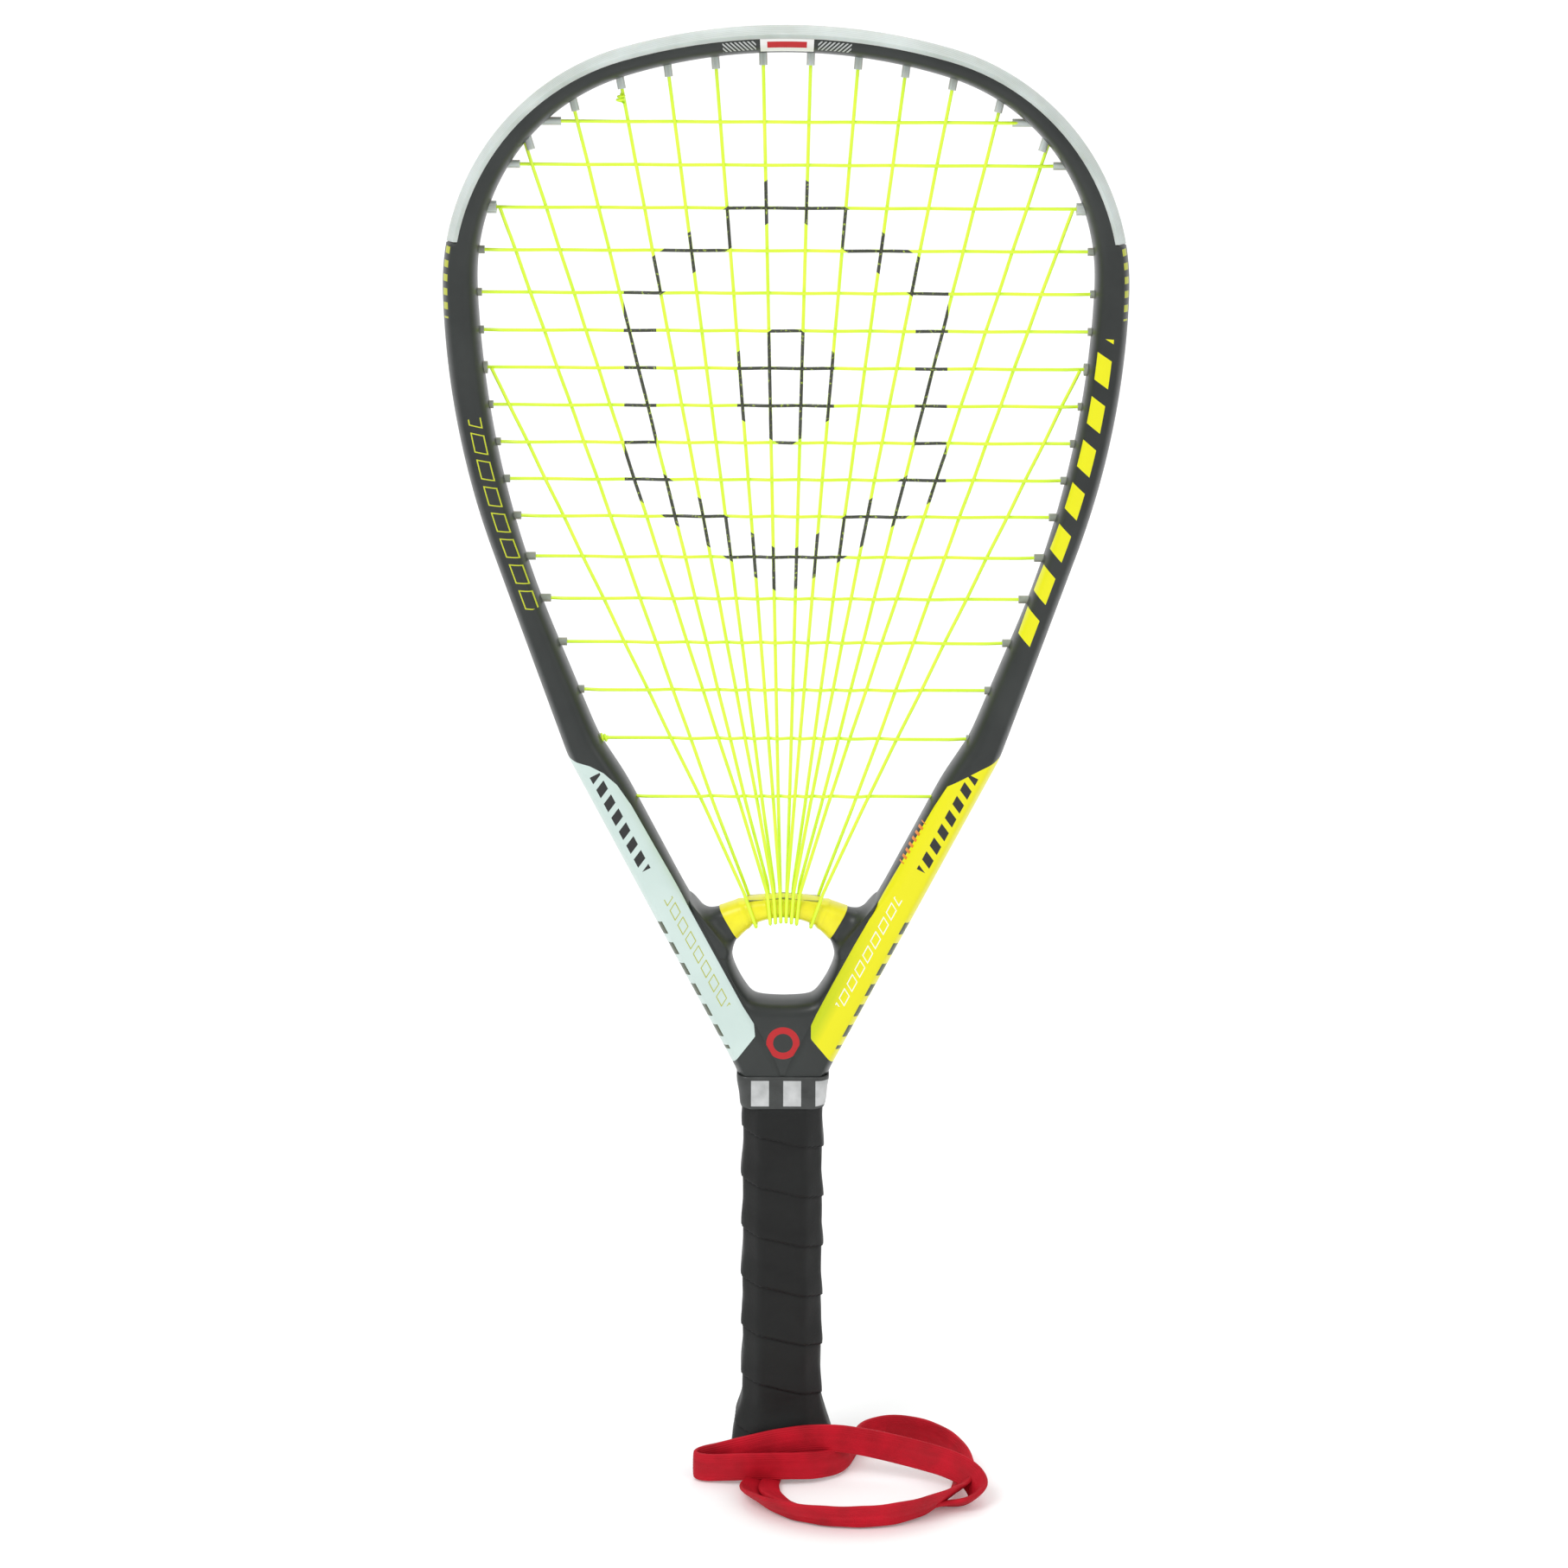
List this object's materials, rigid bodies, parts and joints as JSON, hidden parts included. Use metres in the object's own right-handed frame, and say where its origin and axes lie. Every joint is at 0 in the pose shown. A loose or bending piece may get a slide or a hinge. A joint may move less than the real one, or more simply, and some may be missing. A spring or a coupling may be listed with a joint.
{
  "type": "racketball racket",
  "caption": "Short-handled teardrop racket with a strung head, an open throat with a string bridge, a wrapped grip and a flat wrist cord, standing on its butt.",
  "frame": {"origin": "centre of the flat underside of the butt cap", "axes": "+Z along the handle to the top of the head, +X across the face, -Y out of the front of the string plane"},
  "size_m": [0.253, 0.0879, 0.559],
  "materials": {
    "frame_paint": "satin charcoal lacquer over carbon fibre, with pale silver and yellow panels on the arms",
    "guard_nylon": "silver-grey translucent nylon",
    "grommet_nylon": "pale translucent nylon",
    "sleeve_yellow": "yellow semi-gloss",
    "black_nylon": "matt black nylon",
    "string_neon": "neon yellow-green multifilament, slightly translucent",
    "core_foam": "moulded polyurethane foam",
    "cap_black": "matt black moulded cap",
    "grip_rubber": "matt black polyurethane wrap",
    "collar_black": "black finishing tape with silver blocks",
    "screw_steel": "zinc-plated steel",
    "cord_red": "red woven tubular webbing"
  },
  "bodies": {
    "racket": {"frame": "frame_paint", "head_guard": "guard_nylon", "right_grommet_strip": "grommet_nylon", "left_grommet_strip": "grommet_nylon", "throat_web": "frame_paint", "throat_bridge": "frame_paint", "bridge_sleeve": "sleeve_yellow", "bridge_grommet_strip": "black_nylon", "main_strings": "string_neon", "cross_strings": "string_neon", "handle_core_front": "core_foam", "handle_core_back": "core_foam", "butt_cap": "cap_black", "cord_plug": "cap_black", "grip_tape": "grip_rubber", "collar_tape": "collar_black", "cap_screws": "screw_steel", "wrist_cord": "cord_red", "cord_knot": "cord_red"}
  },
  "joints": []
}
